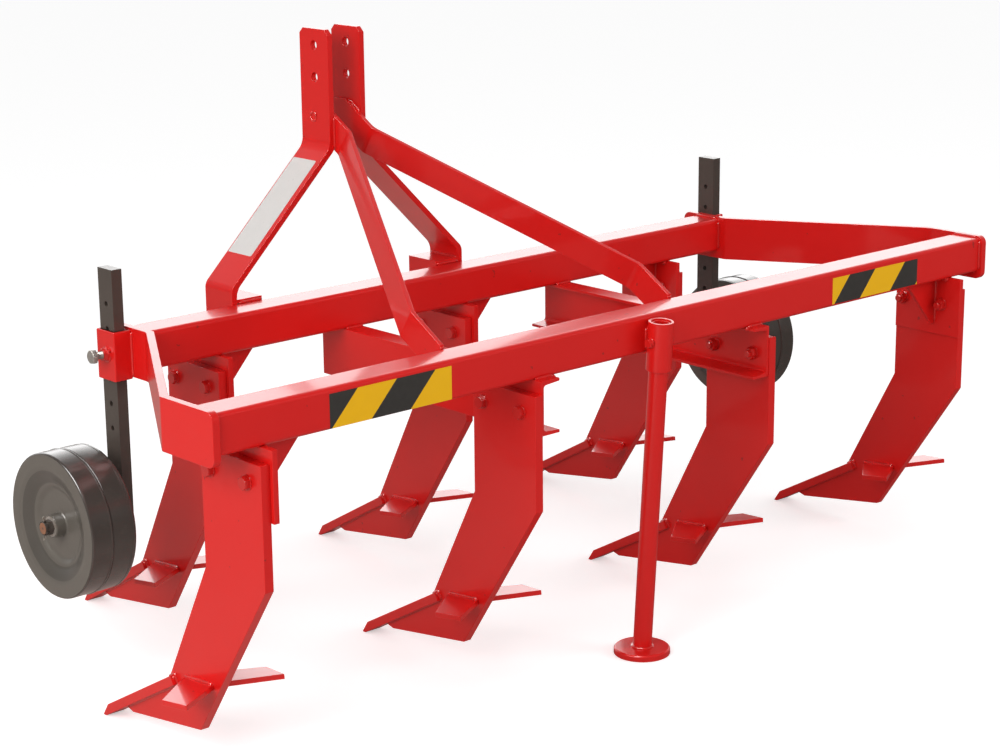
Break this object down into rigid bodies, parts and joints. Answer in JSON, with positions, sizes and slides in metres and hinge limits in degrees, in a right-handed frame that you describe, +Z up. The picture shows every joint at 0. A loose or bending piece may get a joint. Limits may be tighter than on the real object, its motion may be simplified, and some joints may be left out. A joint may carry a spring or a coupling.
{
  "type": "mounted subsoiler",
  "caption": "Mounted subsoiler on two square toolbars with swept winged tines, an offset three point mast with struts, side gauge wheels on sliding legs and a rear parking stand.",
  "frame": {"origin": "on the floor, under the middle of the machine's bounding box", "axes": "+X to the machine's right, +Y forward to the tractor, +Z up"},
  "size_m": [2.825, 1.4674, 1.612],
  "materials": {
    "red_paint": "gloss",
    "black_paint": "satin",
    "black_wheel": "satin",
    "bare_steel": "worn"
  },
  "bodies": {
    "frame": {"front_bar": "red_paint", "rear_bar": "red_paint", "side_plate_left": "red_paint", "side_plate_right": "red_paint", "channel_left": "red_paint", "channel_right": "red_paint", "mast_bar_left": "red_paint", "mast_bar_right": "red_paint", "strut_left": "red_paint", "strut_right": "red_paint", "link_bracket_left": "red_paint", "link_bracket_right": "red_paint", "bracket_rear_1": "red_paint", "bracket_rear_4": "red_paint", "bracket_front_1": "red_paint", "bracket_front_2": "red_paint", "bracket_front_3": "red_paint", "shank_rear_1": "red_paint", "shank_rear_2": "red_paint", "shank_rear_3": "red_paint", "shank_rear_4": "red_paint", "shank_front_1": "red_paint", "shank_front_2": "red_paint", "shank_front_3": "red_paint", "share_rear_1": "red_paint", "share_rear_2": "red_paint", "share_rear_3": "red_paint", "share_rear_4": "red_paint", "share_front_1": "red_paint", "share_front_2": "red_paint", "share_front_3": "red_paint", "gauge_sleeve_left": "red_paint", "gauge_sleeve_right": "red_paint", "stand_sleeve": "red_paint", "link_pin_left": "bare_steel", "link_pin_right": "bare_steel"},
    "gauge_leg_left_body": {"gauge_leg_left": "black_paint"},
    "gauge_wheel_left_body": {"gauge_wheel_left": "black_wheel"},
    "gauge_leg_right_body": {"gauge_leg_right": "black_paint"},
    "gauge_wheel_right_body": {"gauge_wheel_right": "black_wheel"},
    "stand": {"stand_leg": "red_paint"}
  },
  "joints": [
    {"name": "gauge_leg_left_slide", "type": "slide", "parent": "frame", "child": "gauge_leg_left_body", "axis": [0, 0, 1], "range_m": [-0.12, 0.25]},
    {"name": "gauge_wheel_left_spin", "type": "hinge", "parent": "gauge_leg_left_body", "child": "gauge_wheel_left_body", "pos_m": [-1.236, 0.16772, 0.454], "axis": [1, 0, 0], "continuous": true},
    {"name": "gauge_leg_right_slide", "type": "slide", "parent": "frame", "child": "gauge_leg_right_body", "axis": [0, 0, 1], "range_m": [-0.12, 0.25]},
    {"name": "gauge_wheel_right_spin", "type": "hinge", "parent": "gauge_leg_right_body", "child": "gauge_wheel_right_body", "pos_m": [1.236, 0.16772, 0.512], "axis": [1, 0, 0], "continuous": true},
    {"name": "stand_slide", "type": "slide", "parent": "frame", "child": "stand", "axis": [0, -0.0659, 0.9978], "range_m": [0, 0.5]}
  ]
}
